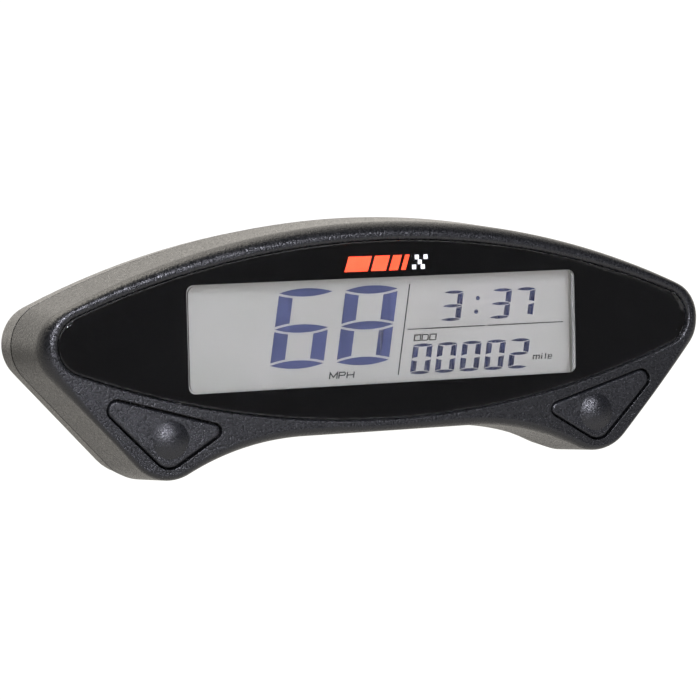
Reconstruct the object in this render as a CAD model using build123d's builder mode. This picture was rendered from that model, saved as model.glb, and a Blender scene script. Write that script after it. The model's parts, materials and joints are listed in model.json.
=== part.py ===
from build123d import *

import os
from math import sqrt

# ----------------------------------------------------------------------------------------------
# Motorcycle instrument cluster: a liquid crystal speedometer in a wing-shaped case.
#
# Frame: millimetres, +X to the rider's right, +Z up, the display faces -Y. The origin is midway
# between the two threaded mounting inserts, on the face that rests on the handlebar bracket.
# A "height" below is a distance ahead of that mounting face, towards the rider.
# ----------------------------------------------------------------------------------------------

# Heights of the case
MOUNT_FACE = 0.0
BACK_FACE = 3.0
PARTING = 13.3
COLUMN_TOP = 11.0
BEZEL_FRONT = 27.3
LENS_FRONT = 27.0
LENS_THICK = 2.0
MASK_THICK = 0.15
TAPE_THICK = 0.3
LEDGE_THICK = 1.6

LENS_BACK = LENS_FRONT - LENS_THICK
MASK_BACK = LENS_BACK - MASK_THICK
LEDGE_FRONT = MASK_BACK - TAPE_THICK
LEDGE_BACK = LEDGE_FRONT - LEDGE_THICK

# Outline of the case, seen from the front, before its corners are rounded
TOP_RADIUS = 161.0
TOP_APEX = 20.2
TIP_CORNER_X = 76.0
LOBE_CORNER = (47.9, -28.95)
ARCH_FLAT_HALF = 17.8
ARCH_LEVEL = -20.0
ARCH_FLANK_RADIUS = 55.0
TIP_ROUND = 7.5
LOBE_ROUND = 9.0
DRAFT_GROW = 0.9
BEZEL_WALL = 2.2
HOUSING_WALL = 2.3
REAR_ROUND = 4.0
FRONT_ROUND = 1.0

# Lens outline: two shallow arcs with rounded tips
LENS_TOP_RADIUS = 175.0
LENS_TOP = 16.7
LENS_CORNER_X = 76.3
LENS_BOTTOM = -17.65
LENS_TIP_ROUND = 5.6
LENS_GAP = 0.12

# Liquid crystal display: the window and the glass behind it
WINDOW_HALF = 42.0
WINDOW_SHIFT = 0.45
WINDOW_BOTTOM = -10.9
WINDOW_TOP = 9.6
WINDOW_ROUND = 1.4
GLASS_HALF = 43.0
GLASS_BOTTOM = -12.6
GLASS_TOP = 10.6
GLASS_THICK = 1.1
FILM_THICK = 0.2
CELL_GAP = 0.1
DISPLAY_FRONT = 23.3
OPENING_MARGIN = 1.1
GUIDE_THICK = 3.0
CONTACT_LEDGE = 1.4

FRONT_GLASS_FRONT = DISPLAY_FRONT - FILM_THICK
CELL_FRONT = FRONT_GLASS_FRONT - GLASS_THICK
REAR_GLASS_FRONT = CELL_FRONT - CELL_GAP
REAR_FILM_FRONT = REAR_GLASS_FRONT - GLASS_THICK
GUIDE_FRONT = REAR_FILM_FRONT - FILM_THICK
REFLECTOR_FRONT = GUIDE_FRONT - GUIDE_THICK
TRAY_FLOOR_FRONT = REFLECTOR_FRONT - FILM_THICK
TRAY_FLOOR = 1.0
TRAY_WALL = 0.8
TRAY_GAP = 0.1

# Circuit board
BOARD_FRONT = 14.0
BOARD_THICK = 1.6
BOARD_BACK = BOARD_FRONT - BOARD_THICK
BOARD_HALF = 59.6
BOARD_TOP = 11.2
BOARD_INSET = 2.7

# Push buttons: rounded triangles in the two lobes, each over a tactile switch
BUTTON_CORNERS = ((63.6, -8.85), (33.5, -17.4), (46.9, -25.4))
BUTTON_ROUNDS = (2.0, 1.5, 3.5)
BUTTON_GAP = 0.25
BUTTON_FRONT = 27.15
BUTTON_FLANGE = 0.7
FLANGE_FRONT = 24.9
FLANGE_THICK = 1.0
SWITCH_AT = (46.1, -19.0)
SWITCH_SIZE = 6.0
SWITCH_HEIGHT = 3.5
PLUNGER_RADIUS = 1.7
PLUNGER_RISE = 1.5
DOME_RADIUS = 3.7
DOME_RISE = 1.0
CAP_EDGE = 0.5
TRAVEL = 0.5

# Fasteners: (x, z) of those on the right half, repeated on the left
CASE_SCREWS = ((63.2, -0.1), (27.0, 14.0), (36.0, -18.4))
BOARD_SCREWS = ((55.5, 1.0), (24.0, -16.0))
CASE_SCREW_RADIUS = 1.3
BOARD_SCREW_RADIUS = 1.0
CASE_HEAD_RADIUS = 2.3
CASE_HEAD_HEIGHT = 1.6
BOARD_HEAD_RADIUS = 1.8
BOARD_HEAD_HEIGHT = 1.3
HEAD_GAP = 0.3
CASE_SCREW_SEAT = 6.0
CASE_SCREW_LENGTH = 14.0
BOARD_SCREW_LENGTH = 5.0
CASE_BOSS_RADIUS = 2.4
BOARD_BOSS_RADIUS = 1.9

# Rear interfaces
MOUNT_HALF_SPACING = 30.0
INSERT_RADIUS = 3.7
INSERT_BORE_RADIUS = 2.5
INSERT_LENGTH = 7.0
MOUNT_PAD_RADIUS = 6.5
CABLE_AT = (0.0, -9.0)
CABLE_BORE_RADIUS = 2.4
GROMMET_NECK_RADIUS = 4.0
VENT_AT = (0.0, 9.5)
VENT_NECK_RADIUS = 1.8

# The display's characters lean to the right by this much for each millimetre of height
LEAN = 0.168
# A seven segment digit, as shares of the height from its lower row to its middle row
SLIM = 0.116
SEGMENT_GAP = 0.06
BAR_WIDTH = 0.43
TIP_REACH = 0.23
LINE_WIDTH = 0.2

# Segments of a digit: rows are the level bars from top to bottom, uprights are (side, upper half)
TOP_ROW, MIDDLE_ROW, LOWER_ROW = 1, 0, -1
LEFT_UP, RIGHT_UP, LEFT_DOWN, RIGHT_DOWN = ("left", 1), ("right", 1), ("left", 0), ("right", 0)
DIGIT_SEGMENTS = {
    "0": (TOP_ROW, LOWER_ROW, LEFT_UP, RIGHT_UP, LEFT_DOWN, RIGHT_DOWN),
    "2": (TOP_ROW, MIDDLE_ROW, LOWER_ROW, RIGHT_UP, LEFT_DOWN),
    "3": (TOP_ROW, MIDDLE_ROW, LOWER_ROW, RIGHT_UP, RIGHT_DOWN),
    "6": (TOP_ROW, MIDDLE_ROW, LOWER_ROW, LEFT_UP, LEFT_DOWN, RIGHT_DOWN),
    "7": (TOP_ROW, RIGHT_UP, RIGHT_DOWN),
    "8": (TOP_ROW, MIDDLE_ROW, LOWER_ROW, LEFT_UP, RIGHT_UP, LEFT_DOWN, RIGHT_DOWN),
}

# Strokes of the small legends, in a cell one unit high and as wide as the first number
LETTERS = {
    "M": (1.3, [[(0, 0), (0, 1), (0.5, 0.25), (1, 1), (1, 0)]]),
    "P": (1.1, [[(0, 0), (0, 1), (0.85, 1), (1, 0.75), (0.85, 0.5), (0, 0.5)]]),
    "H": (1.2, [[(0, 0), (0, 1)], [(1, 0), (1, 1)], [(0, 0.5), (1, 0.5)]]),
    "O": (1.2, [[(0, 0), (0, 1), (1, 1), (1, 0), (0, 0)]]),
    "D": (1.2, [[(0, 0), (0, 1), (0.8, 1), (1, 0.8), (1, 0.2), (0.8, 0), (0, 0)]]),
    "m": (1.2, [[(0, 0), (0, 0.7), (0.5, 0.7), (0.5, 0)], [(0.5, 0.7), (1, 0.7), (1, 0)]]),
    "i": (0.4, [[(0.5, 0), (0.5, 0.7)], [(0.5, 0.85), (0.5, 1)]]),
    "l": (0.4, [[(0.5, 0), (0.5, 1)]]),
    "e": (0.8, [[(0, 0.35), (1, 0.35)], [(1, 0.35), (0.9, 0.7), (0.1, 0.7), (0.1, 0), (0.95, 0)]]),
}
LETTER_SPACE = 0.35


def facing(height):
    """Plane parallel to the mounting face, at a height, looking at the rider."""
    return Plane.XZ.offset(height)


def both_sides(points):
    """The points and their mirror images across the middle plane."""
    return [(side * x, z) for x, z in points for side in (1, -1)]


def arc_height(apex, radius, x):
    """Z at x on an arc of this radius whose highest point is apex, on the middle plane."""
    return apex - radius + sqrt(radius**2 - x**2)


def case_outline(grow=0.0):
    """Wing-shaped outline of the case, grown outwards by an even distance."""
    tip_z = arc_height(TOP_APEX, TOP_RADIUS, TIP_CORNER_X)
    lobe_x, lobe_z = LOBE_CORNER
    flank_x = (ARCH_FLAT_HALF + lobe_x) / 2
    flank_z = ARCH_LEVEL - ARCH_FLANK_RADIUS + sqrt(ARCH_FLANK_RADIUS**2 - (flank_x - ARCH_FLAT_HALF) ** 2)
    with BuildSketch() as outline:
        with BuildLine():
            ThreePointArc((-TIP_CORNER_X, tip_z), (0, TOP_APEX), (TIP_CORNER_X, tip_z))
            Line((TIP_CORNER_X, tip_z), (lobe_x, lobe_z))
            ThreePointArc((lobe_x, lobe_z), (flank_x, flank_z), (ARCH_FLAT_HALF, ARCH_LEVEL))
            Line((ARCH_FLAT_HALF, ARCH_LEVEL), (-ARCH_FLAT_HALF, ARCH_LEVEL))
            ThreePointArc((-ARCH_FLAT_HALF, ARCH_LEVEL), (-flank_x, flank_z), (-lobe_x, lobe_z))
            Line((-lobe_x, lobe_z), (-TIP_CORNER_X, tip_z))
        make_face()
        fillet(outline.vertices().group_by(Axis.X)[0] + outline.vertices().group_by(Axis.X)[-1], TIP_ROUND)
        fillet(outline.vertices().group_by(Axis.Y)[0], LOBE_ROUND)
        if grow:
            offset(amount=grow, mode=Mode.REPLACE)
    return outline.sketch


def lens_outline(grow=0.0):
    """Outline of the clear lens, grown outwards by an even distance."""
    tip_z = arc_height(LENS_TOP, LENS_TOP_RADIUS, LENS_CORNER_X)
    with BuildSketch() as outline:
        with BuildLine():
            ThreePointArc((-LENS_CORNER_X, tip_z), (0, LENS_TOP), (LENS_CORNER_X, tip_z))
            ThreePointArc((LENS_CORNER_X, tip_z), (0, LENS_BOTTOM), (-LENS_CORNER_X, tip_z))
        make_face()
        fillet(outline.vertices(), LENS_TIP_ROUND)
        if grow:
            offset(amount=grow, mode=Mode.REPLACE)
    return outline.sketch


def button_outline(side, grow=0.0):
    """Rounded triangle of one push button; side is 1 on the rider's right and -1 on the left."""
    with BuildSketch() as outline:
        with BuildLine():
            Polyline(*[(side * x, z) for x, z in BUTTON_CORNERS], close=True)
        make_face()
        for corner, radius in zip(BUTTON_CORNERS, BUTTON_ROUNDS, strict=True):
            place = Vector(side * corner[0], corner[1])
            fillet(outline.vertices().sort_by_distance(place)[0], radius)
        if grow:
            offset(amount=grow, mode=Mode.REPLACE)
    return outline.sketch


def box_outline(half_width, bottom, top, corner_round=0.0, shift=0.0):
    """Rectangle between two levels, centred on the middle plane or shifted to the right of it."""
    with BuildSketch() as outline:
        with Locations((shift, (top + bottom) / 2)):
            Rectangle(2 * half_width, top - bottom)
        if corner_round:
            fillet(outline.vertices(), corner_round)
    return outline.sketch


def window_outline(grow=0.0):
    """Outline of the clear window in the lens's black print."""
    return box_outline(
        WINDOW_HALF + grow, WINDOW_BOTTOM - grow, WINDOW_TOP + grow, WINDOW_ROUND, WINDOW_SHIFT
    )


def display_opening():
    """The opening behind the lens through which the display is seen."""
    return box_outline(GLASS_HALF + OPENING_MARGIN, GLASS_BOTTOM - OPENING_MARGIN, GLASS_TOP + OPENING_MARGIN)


def plate(outline, front, thickness):
    """A flat piece: the outline extruded back from its front height."""
    with BuildPart() as piece:
        with BuildSketch(facing(front)):
            add(outline)
        extrude(amount=-thickness)
    return piece.part


def discs(places, radius):
    """Equal circles at several places, as one sketch."""
    with BuildSketch() as outline:
        with Locations(*places):
            Circle(radius)
    return outline.sketch


# ----------------------------------------------------------------------------------------------
# Case
# ----------------------------------------------------------------------------------------------

# Front bezel: a drafted skirt behind a face that holds the lens and the two buttons. Screw bosses
# stand inside it; a shallow pocket behind each button opening holds the button's flange.
POCKET_DEPTH = 0.1
with BuildPart() as front_bezel:
    with BuildSketch(facing(BEZEL_FRONT)):
        add(case_outline())
    with BuildSketch(facing(PARTING)):
        add(case_outline(DRAFT_GROW))
    loft(ruled=True)
    fillet(front_bezel.faces().sort_by(Axis.Y)[0].edges(), FRONT_ROUND)
    with BuildSketch(facing(LEDGE_BACK)):
        add(case_outline(-BEZEL_WALL))
    extrude(amount=PARTING - LEDGE_BACK, mode=Mode.SUBTRACT)
    with BuildSketch(facing(BEZEL_FRONT)):
        add(lens_outline(LENS_GAP))
    extrude(amount=LEDGE_FRONT - BEZEL_FRONT, mode=Mode.SUBTRACT)
    with BuildSketch(facing(LEDGE_FRONT)):
        add(display_opening())
    extrude(amount=LEDGE_BACK - LEDGE_FRONT, mode=Mode.SUBTRACT)
    for side in (1, -1):
        with BuildSketch(facing(BEZEL_FRONT)):
            add(button_outline(side, BUTTON_GAP))
        extrude(amount=LEDGE_BACK - BEZEL_FRONT, mode=Mode.SUBTRACT)
        with BuildSketch(facing(FLANGE_FRONT + POCKET_DEPTH)):
            add(button_outline(side, BUTTON_FLANGE + BUTTON_GAP))
        extrude(amount=LEDGE_BACK - FLANGE_FRONT - POCKET_DEPTH, mode=Mode.SUBTRACT)
    with BuildSketch(facing(COLUMN_TOP)):
        with Locations(*both_sides(CASE_SCREWS)):
            Circle(CASE_BOSS_RADIUS)
    extrude(amount=LEDGE_BACK - COLUMN_TOP)
    with BuildSketch(facing(BOARD_FRONT)):
        with Locations(*both_sides(BOARD_SCREWS)):
            Circle(BOARD_BOSS_RADIUS)
    extrude(amount=LEDGE_BACK - BOARD_FRONT)
    with BuildSketch(facing(COLUMN_TOP)):
        with Locations(*both_sides(CASE_SCREWS)):
            Circle(CASE_SCREW_RADIUS)
    extrude(amount=CASE_SCREW_SEAT + CASE_SCREW_LENGTH - COLUMN_TOP, mode=Mode.SUBTRACT)
    with BuildSketch(facing(BOARD_FRONT)):
        with Locations(*both_sides(BOARD_SCREWS)):
            Circle(BOARD_SCREW_RADIUS)
    extrude(amount=BOARD_SCREW_LENGTH, mode=Mode.SUBTRACT)

# Rear housing: drafted shell with a rounded back edge. A step at the joint leaves a fine reveal
# line, and a groove beside it holds the seal. Screw columns and mounting bosses stand inside.
REVEAL = 0.35
GROOVE_OUTER = -0.15
GROOVE_WIDTH = 0.7
GROOVE_DEPTH = 1.0
REAR_GROW = 0.0
FLOOR_FRONT = 5.2
COLUMN_RADIUS = 3.4
MOUNT_BOSS_FRONT = 9.0
with BuildPart() as rear_housing:
    with BuildSketch(facing(PARTING)):
        add(case_outline(DRAFT_GROW))
    with BuildSketch(facing(BACK_FACE)):
        add(case_outline(REAR_GROW))
    loft(ruled=True)
    fillet(rear_housing.faces().sort_by(Axis.Y)[-1].edges(), REAR_ROUND)
    with BuildSketch(facing(PARTING)):
        add(case_outline(DRAFT_GROW - HOUSING_WALL))
    extrude(amount=FLOOR_FRONT - PARTING, mode=Mode.SUBTRACT)
    with BuildSketch(facing(PARTING)):
        add(case_outline(DRAFT_GROW + REVEAL))
        add(case_outline(DRAFT_GROW - REVEAL), mode=Mode.SUBTRACT)
    extrude(amount=-REVEAL, mode=Mode.SUBTRACT)
    with BuildSketch(facing(PARTING)):
        add(case_outline(GROOVE_OUTER))
        add(case_outline(GROOVE_OUTER - GROOVE_WIDTH), mode=Mode.SUBTRACT)
    extrude(amount=-GROOVE_DEPTH, mode=Mode.SUBTRACT)
    with BuildSketch(facing(FLOOR_FRONT)):
        with Locations(*both_sides(CASE_SCREWS)):
            Circle(COLUMN_RADIUS)
        add(case_outline(GROOVE_OUTER - GROOVE_WIDTH - REVEAL / 2), mode=Mode.INTERSECT)
    extrude(amount=COLUMN_TOP - FLOOR_FRONT)
    with BuildSketch(facing(MOUNT_FACE)):
        with Locations((MOUNT_HALF_SPACING, 0), (-MOUNT_HALF_SPACING, 0)):
            Circle(MOUNT_PAD_RADIUS)
    extrude(amount=MOUNT_BOSS_FRONT)
    with BuildSketch(facing(MOUNT_FACE)):
        with Locations((MOUNT_HALF_SPACING, 0), (-MOUNT_HALF_SPACING, 0)):
            Circle(INSERT_RADIUS)
    extrude(amount=INSERT_LENGTH, mode=Mode.SUBTRACT)
    with BuildSketch(facing(COLUMN_TOP)):
        with Locations(*both_sides(CASE_SCREWS)):
            Circle(CASE_SCREW_RADIUS)
    extrude(amount=BACK_FACE - COLUMN_TOP, mode=Mode.SUBTRACT)
    with BuildSketch(facing(BACK_FACE)):
        with Locations(*both_sides(CASE_SCREWS)):
            Circle(CASE_HEAD_RADIUS + HEAD_GAP)
    extrude(amount=CASE_SCREW_SEAT - BACK_FACE, mode=Mode.SUBTRACT)
    with BuildSketch(facing(BACK_FACE)):
        with Locations(CABLE_AT):
            Circle(GROMMET_NECK_RADIUS)
        with Locations(VENT_AT):
            Circle(VENT_NECK_RADIUS)
    extrude(amount=FLOOR_FRONT - BACK_FACE, mode=Mode.SUBTRACT)

# Seal: a flat silicone ring that fills the groove and meets the back of the bezel skirt
with BuildPart() as housing_seal:
    with BuildSketch(facing(PARTING)):
        add(case_outline(GROOVE_OUTER))
        add(case_outline(GROOVE_OUTER - GROOVE_WIDTH), mode=Mode.SUBTRACT)
    extrude(amount=-GROOVE_DEPTH)

# ----------------------------------------------------------------------------------------------
# Lens, its black print and the tape that bonds it
# ----------------------------------------------------------------------------------------------

# Lens: a clear plate with a softened front edge and a raised pad over the window behind it
PAD_RISE = 0.5
PAD_GAP = 0.3
LENS_EDGE = 0.4
with BuildPart() as lens:
    with BuildSketch(facing(LENS_BACK)):
        add(lens_outline())
    extrude(amount=LENS_THICK)
    fillet(lens.faces().sort_by(Axis.Y)[0].edges(), LENS_EDGE)
    with BuildSketch(facing(LENS_BACK)):
        add(window_outline(-PAD_GAP))
    extrude(amount=-PAD_RISE)

# Speed stripes above the window: leaning orange bars that narrow to the right, then white squares
STRIPE_LEFT = -8.55
STRIPE_BOTTOM = 10.9
STRIPE_HEIGHT = 2.9
STRIPE_WIDTHS = (5.0, 3.2, 1.9, 1.0)
STRIPE_SPACE = 0.7
CHECK_SIZE = 0.95
with BuildSketch() as stripe_sketch:
    left = STRIPE_LEFT
    for width in STRIPE_WIDTHS:
        shift = 2 * LEAN * STRIPE_HEIGHT
        with BuildLine():
            Polyline(
                (left, STRIPE_BOTTOM),
                (left + width, STRIPE_BOTTOM),
                (left + width + shift, STRIPE_BOTTOM + STRIPE_HEIGHT),
                (left + shift, STRIPE_BOTTOM + STRIPE_HEIGHT),
                close=True,
            )
        make_face()
        left += width + STRIPE_SPACE
with BuildSketch() as check_sketch:
    for column, row in ((0, 0), (0, 2), (1, 1), (2, 0), (2, 2)):
        corner_x = left + STRIPE_SPACE + column * CHECK_SIZE + 2 * LEAN * row * CHECK_SIZE
        with Locations((corner_x + CHECK_SIZE / 2, STRIPE_BOTTOM + (row + 0.5) * CHECK_SIZE)):
            Rectangle(0.9 * CHECK_SIZE, 0.9 * CHECK_SIZE)

with BuildPart() as orange_stripes:
    with BuildSketch(facing(LENS_BACK)):
        add(stripe_sketch.sketch)
    extrude(amount=-MASK_THICK)

with BuildPart() as white_checks:
    with BuildSketch(facing(LENS_BACK)):
        add(check_sketch.sketch)
    extrude(amount=-MASK_THICK)

# Mask: black print over the whole back of the lens, open at the window and around the stripes
with BuildPart() as lens_mask:
    with BuildSketch(facing(LENS_BACK)):
        add(lens_outline())
        add(window_outline(), mode=Mode.SUBTRACT)
        add(stripe_sketch.sketch, mode=Mode.SUBTRACT)
        add(check_sketch.sketch, mode=Mode.SUBTRACT)
    extrude(amount=-MASK_THICK)

# Tape: a ring between the mask and the bezel's floor, held in from the window
TAPE_WIDTH = 2.4
with BuildPart() as lens_tape:
    with BuildSketch(facing(MASK_BACK)):
        add(lens_outline())
        add(lens_outline(-TAPE_WIDTH), mode=Mode.SUBTRACT)
        add(display_opening(), mode=Mode.SUBTRACT)
    extrude(amount=-TAPE_THICK)

# ----------------------------------------------------------------------------------------------
# Liquid crystal display, from front to back
# ----------------------------------------------------------------------------------------------

# Foam gasket between the display and the mask: it keeps dust out and makes the window's dark sides
GASKET_WIDTH = 0.5
with BuildPart() as display_gasket:
    with BuildSketch(facing(MASK_BACK)):
        add(box_outline(GLASS_HALF, WINDOW_BOTTOM - 2 * GASKET_WIDTH, GLASS_TOP))
        add(
            box_outline(GLASS_HALF - GASKET_WIDTH, WINDOW_BOTTOM - GASKET_WIDTH, GLASS_TOP - GASKET_WIDTH),
            mode=Mode.SUBTRACT,
        )
    extrude(amount=DISPLAY_FRONT - MASK_BACK)

front_polarizer = plate(box_outline(GLASS_HALF, WINDOW_BOTTOM - 1, GLASS_TOP), DISPLAY_FRONT, FILM_THICK)
front_glass = plate(box_outline(GLASS_HALF, GLASS_BOTTOM, GLASS_TOP), FRONT_GLASS_FRONT, GLASS_THICK)
REAR_BOTTOM = GLASS_BOTTOM + CONTACT_LEDGE
rear_glass = plate(box_outline(GLASS_HALF, REAR_BOTTOM, GLASS_TOP), REAR_GLASS_FRONT, GLASS_THICK)
rear_polarizer = plate(box_outline(GLASS_HALF, REAR_BOTTOM, GLASS_TOP), REAR_FILM_FRONT, FILM_THICK)

# Edge seal: the epoxy frame that closes the liquid crystal cell between the two glasses
SEAL_WIDTH = 0.3
with BuildPart() as cell_seal:
    with BuildSketch(facing(CELL_FRONT)):
        add(box_outline(GLASS_HALF, REAR_BOTTOM, GLASS_TOP))
        add(
            box_outline(GLASS_HALF - SEAL_WIDTH, REAR_BOTTOM + SEAL_WIDTH / 2, GLASS_TOP - SEAL_WIDTH),
            mode=Mode.SUBTRACT,
        )
    extrude(amount=-CELL_GAP)


def leaning(x, z, base_z):
    """A point moved right as it rises above base_z, as the characters lean."""
    return (x + LEAN * (z - base_z), z)


def level_segment(left, middle, row, pitch, width, reach=0.0, swell=0.0):
    """Slim pointed bar of a digit, as a sketch; reach lengthens and swell fattens it."""
    z = middle + row * pitch
    start = leaning(left - reach, z, middle)
    half = SLIM * pitch + swell
    with BuildSketch() as segment:
        with BuildLine():
            ThreePointArc(start, (start[0] + width / 2 + reach, z + half), (start[0] + width + 2 * reach, z))
            ThreePointArc((start[0] + width + 2 * reach, z), (start[0] + width / 2 + reach, z - half), start)
        make_face()
    return segment.sketch


def upright_segment(left, middle, upright, pitch, width):
    """Leaning bar of a digit between two rows, before the level bars are cleared from its ends."""
    edge, upper = upright
    bar = BAR_WIDTH * pitch
    x = left if edge == "left" else left + width - bar
    low = middle + (upper - 1) * pitch
    corners = [(x, low), (x + bar, low), (x + bar, low + pitch), (x, low + pitch)]
    with BuildSketch() as segment:
        with BuildLine():
            Polyline(*[leaning(corner_x, z, middle) for corner_x, z in corners], close=True)
        make_face()
    return segment.sketch


def digit(character, left, middle, pitch, width):
    """A seven segment digit; left is its left end at the middle row."""
    segments = DIGIT_SEGMENTS[character]
    with BuildSketch() as shape:
        for upright in segments:
            if isinstance(upright, tuple):
                add(upright_segment(left, middle, upright, pitch, width))
        for row in (TOP_ROW, MIDDLE_ROW, LOWER_ROW):
            clearing = level_segment(
                left, middle, row, pitch, width, TIP_REACH * pitch, SEGMENT_GAP * pitch
            )
            add(clearing, mode=Mode.SUBTRACT)
        for row in segments:
            if not isinstance(row, tuple):
                add(level_segment(left, middle, row, pitch, width))
    return shape.sketch


# Digits: the speed at the left, the clock above and the distance below at the right
SPEED_LEFT, SPEED_SPACING = -22.25, 14.12
SPEED_PITCH, SPEED_WIDTH, SPEED_MIDDLE = 6.88, 11.3, 0.34
SMALL_PITCH, SMALL_WIDTH = 2.68, 4.2
CLOCK_MIDDLE, DISTANCE_MIDDLE = 3.33, -6.76
DISTANCE_LEFT, DISTANCE_SPACING = 7.05, 5.47
COLON_X, COLON_RADIUS = 21.8, 0.42
with BuildSketch() as digit_sketch:
    for place, character in enumerate("68"):
        add(digit(character, SPEED_LEFT + SPEED_SPACING * place, SPEED_MIDDLE, SPEED_PITCH, SPEED_WIDTH))
    for left, character in ((14.2, "3"), (25.1, "3"), (30.5, "7")):
        add(digit(character, left, CLOCK_MIDDLE, SMALL_PITCH, SMALL_WIDTH))
    for place, character in enumerate("00002"):
        add(digit(character, DISTANCE_LEFT + DISTANCE_SPACING * place, DISTANCE_MIDDLE, SMALL_PITCH, SMALL_WIDTH))
    for z in (4.6, 1.95):
        with Locations(leaning(COLON_X, z, CLOCK_MIDDLE)):
            Circle(COLON_RADIUS)
lcd_digits = plate(digit_sketch.sketch, CELL_FRONT, CELL_GAP)


def legend(text, left, bottom, height, line_width):
    """A short leaning legend drawn with strokes of one width, as a sketch."""
    with BuildSketch() as word:
        x = left
        for character in text:
            cell, strokes = LETTERS[character]
            for stroke in strokes:
                points = [leaning(x + u * cell * height, bottom + v * height, bottom) for u, v in stroke]
                with BuildLine() as line:
                    Polyline(*points)
                trace(line.edges(), line_width=line_width)
            x += (cell + LETTER_SPACE) * height
    return word.sketch


with BuildSketch() as legend_sketch:
    add(legend("MPH", -10.9, -9.7, 1.2, 0.22))
    add(legend("ODO", 7.65, -3.15, 1.1, 0.2))
    add(legend("mile", 34.25, -8.1, 1.1, 0.2))
    with BuildLine() as divider:
        Line((6.96, 7.96), (3.99, -9.65))
    trace(divider.edges(), line_width=LINE_WIDTH)
    with BuildLine() as rule:
        Line((6.3, -0.87), (23.5, -0.87))
        Line((24.15, -0.87), (41.3, -0.87))
    trace(rule.edges(), line_width=LINE_WIDTH)
lcd_legends = plate(legend_sketch.sketch, CELL_FRONT, CELL_GAP)

# ----------------------------------------------------------------------------------------------
# Backlight and the tray that carries the display
# ----------------------------------------------------------------------------------------------

LED_PLACES = [(x, -0.5) for x in (-33.0, -11.0, 11.0, 33.0)]
LED_SIZE = (3.5, 2.8)
LED_HEIGHT = 1.9
LED_WINDOW = (5.0, 4.2)
STRIP_HALF = 38.0
STRIP_THICK = 1.1
STRIP_MIDDLE = GLASS_BOTTOM + STRIP_THICK / 2 + 0.15
PEG_PLACES = both_sides([(39.5, 7.0), (39.5, -8.0)])
PEG_RADIUS = 1.0
FOOT_RADIUS = 1.8

light_guide = plate(box_outline(GLASS_HALF, REAR_BOTTOM, GLASS_TOP), GUIDE_FRONT, GUIDE_THICK)

# Reflector: a white sheet under the light guide, open over each lamp
with BuildPart() as reflector_sheet:
    with BuildSketch(facing(REFLECTOR_FRONT)):
        add(box_outline(GLASS_HALF, REAR_BOTTOM, GLASS_TOP))
        with Locations(*LED_PLACES):
            Rectangle(*LED_WINDOW, mode=Mode.SUBTRACT)
    extrude(amount=-FILM_THICK)

# Tray: walls around the glass, a floor under the light guide and four feet with pegs
TRAY_HALF = GLASS_HALF + TRAY_GAP + TRAY_WALL
TRAY_BOTTOM = GLASS_BOTTOM - TRAY_GAP - TRAY_WALL
TRAY_TOP = GLASS_TOP + TRAY_GAP + TRAY_WALL
TRAY_BACK = TRAY_FLOOR_FRONT - TRAY_FLOOR
with BuildPart() as display_tray:
    with BuildSketch(facing(DISPLAY_FRONT)):
        add(box_outline(TRAY_HALF, TRAY_BOTTOM, TRAY_TOP))
    extrude(amount=TRAY_BACK - DISPLAY_FRONT)
    with BuildSketch(facing(DISPLAY_FRONT)):
        add(box_outline(GLASS_HALF + TRAY_GAP, GLASS_BOTTOM - TRAY_GAP, GLASS_TOP + TRAY_GAP))
    extrude(amount=TRAY_FLOOR_FRONT - DISPLAY_FRONT, mode=Mode.SUBTRACT)
    with BuildSketch(facing(BOARD_FRONT)):
        with Locations(*PEG_PLACES):
            Circle(FOOT_RADIUS)
    extrude(amount=TRAY_BACK - BOARD_FRONT)
    with BuildSketch(facing(BOARD_BACK)):
        with Locations(*PEG_PLACES):
            Circle(PEG_RADIUS)
    extrude(amount=BOARD_THICK)
    with BuildSketch(facing(TRAY_FLOOR_FRONT)):
        with Locations(*LED_PLACES):
            Rectangle(*LED_WINDOW)
        with Locations((0, STRIP_MIDDLE)):
            Rectangle(2 * STRIP_HALF + 0.2, STRIP_THICK + 0.1)
    extrude(amount=-TRAY_FLOOR, mode=Mode.SUBTRACT)

# Contact strip: the elastomer bar that joins the glass's lower ledge to the board
with BuildPart() as contact_strip:
    with BuildSketch(facing(BOARD_FRONT)):
        with Locations((0, STRIP_MIDDLE)):
            Rectangle(2 * STRIP_HALF, STRIP_THICK)
    extrude(amount=CELL_FRONT - BOARD_FRONT)


def lamp(place):
    """Surface mounted lamp on the front of the board, with a round emitting recess."""
    with BuildPart() as piece:
        with BuildSketch(facing(BOARD_FRONT)):
            with Locations(place):
                Rectangle(*LED_SIZE)
        extrude(amount=LED_HEIGHT)
        with BuildSketch(facing(BOARD_FRONT + LED_HEIGHT)):
            with Locations(place):
                Circle(LED_SIZE[1] * 0.4)
        extrude(amount=-LED_HEIGHT / 4, taper=20, mode=Mode.SUBTRACT)
    return piece.part


# ----------------------------------------------------------------------------------------------
# Circuit board and its components
# ----------------------------------------------------------------------------------------------

SCREW_CLEARANCE = 0.1
SCREW_NOTCH = 0.4
with BuildPart() as main_board:
    with BuildSketch(facing(BOARD_FRONT)):
        add(case_outline(-BOARD_INSET))
        add(box_outline(BOARD_HALF, LOBE_CORNER[1], BOARD_TOP), mode=Mode.INTERSECT)
        with Locations(*both_sides(CASE_SCREWS)):
            Circle(CASE_BOSS_RADIUS + SCREW_NOTCH, mode=Mode.SUBTRACT)
        with Locations(*both_sides(BOARD_SCREWS)):
            Circle(BOARD_SCREW_RADIUS + SCREW_CLEARANCE, mode=Mode.SUBTRACT)
        with Locations(*PEG_PLACES):
            Circle(PEG_RADIUS, mode=Mode.SUBTRACT)
    extrude(amount=-BOARD_THICK)


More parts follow.
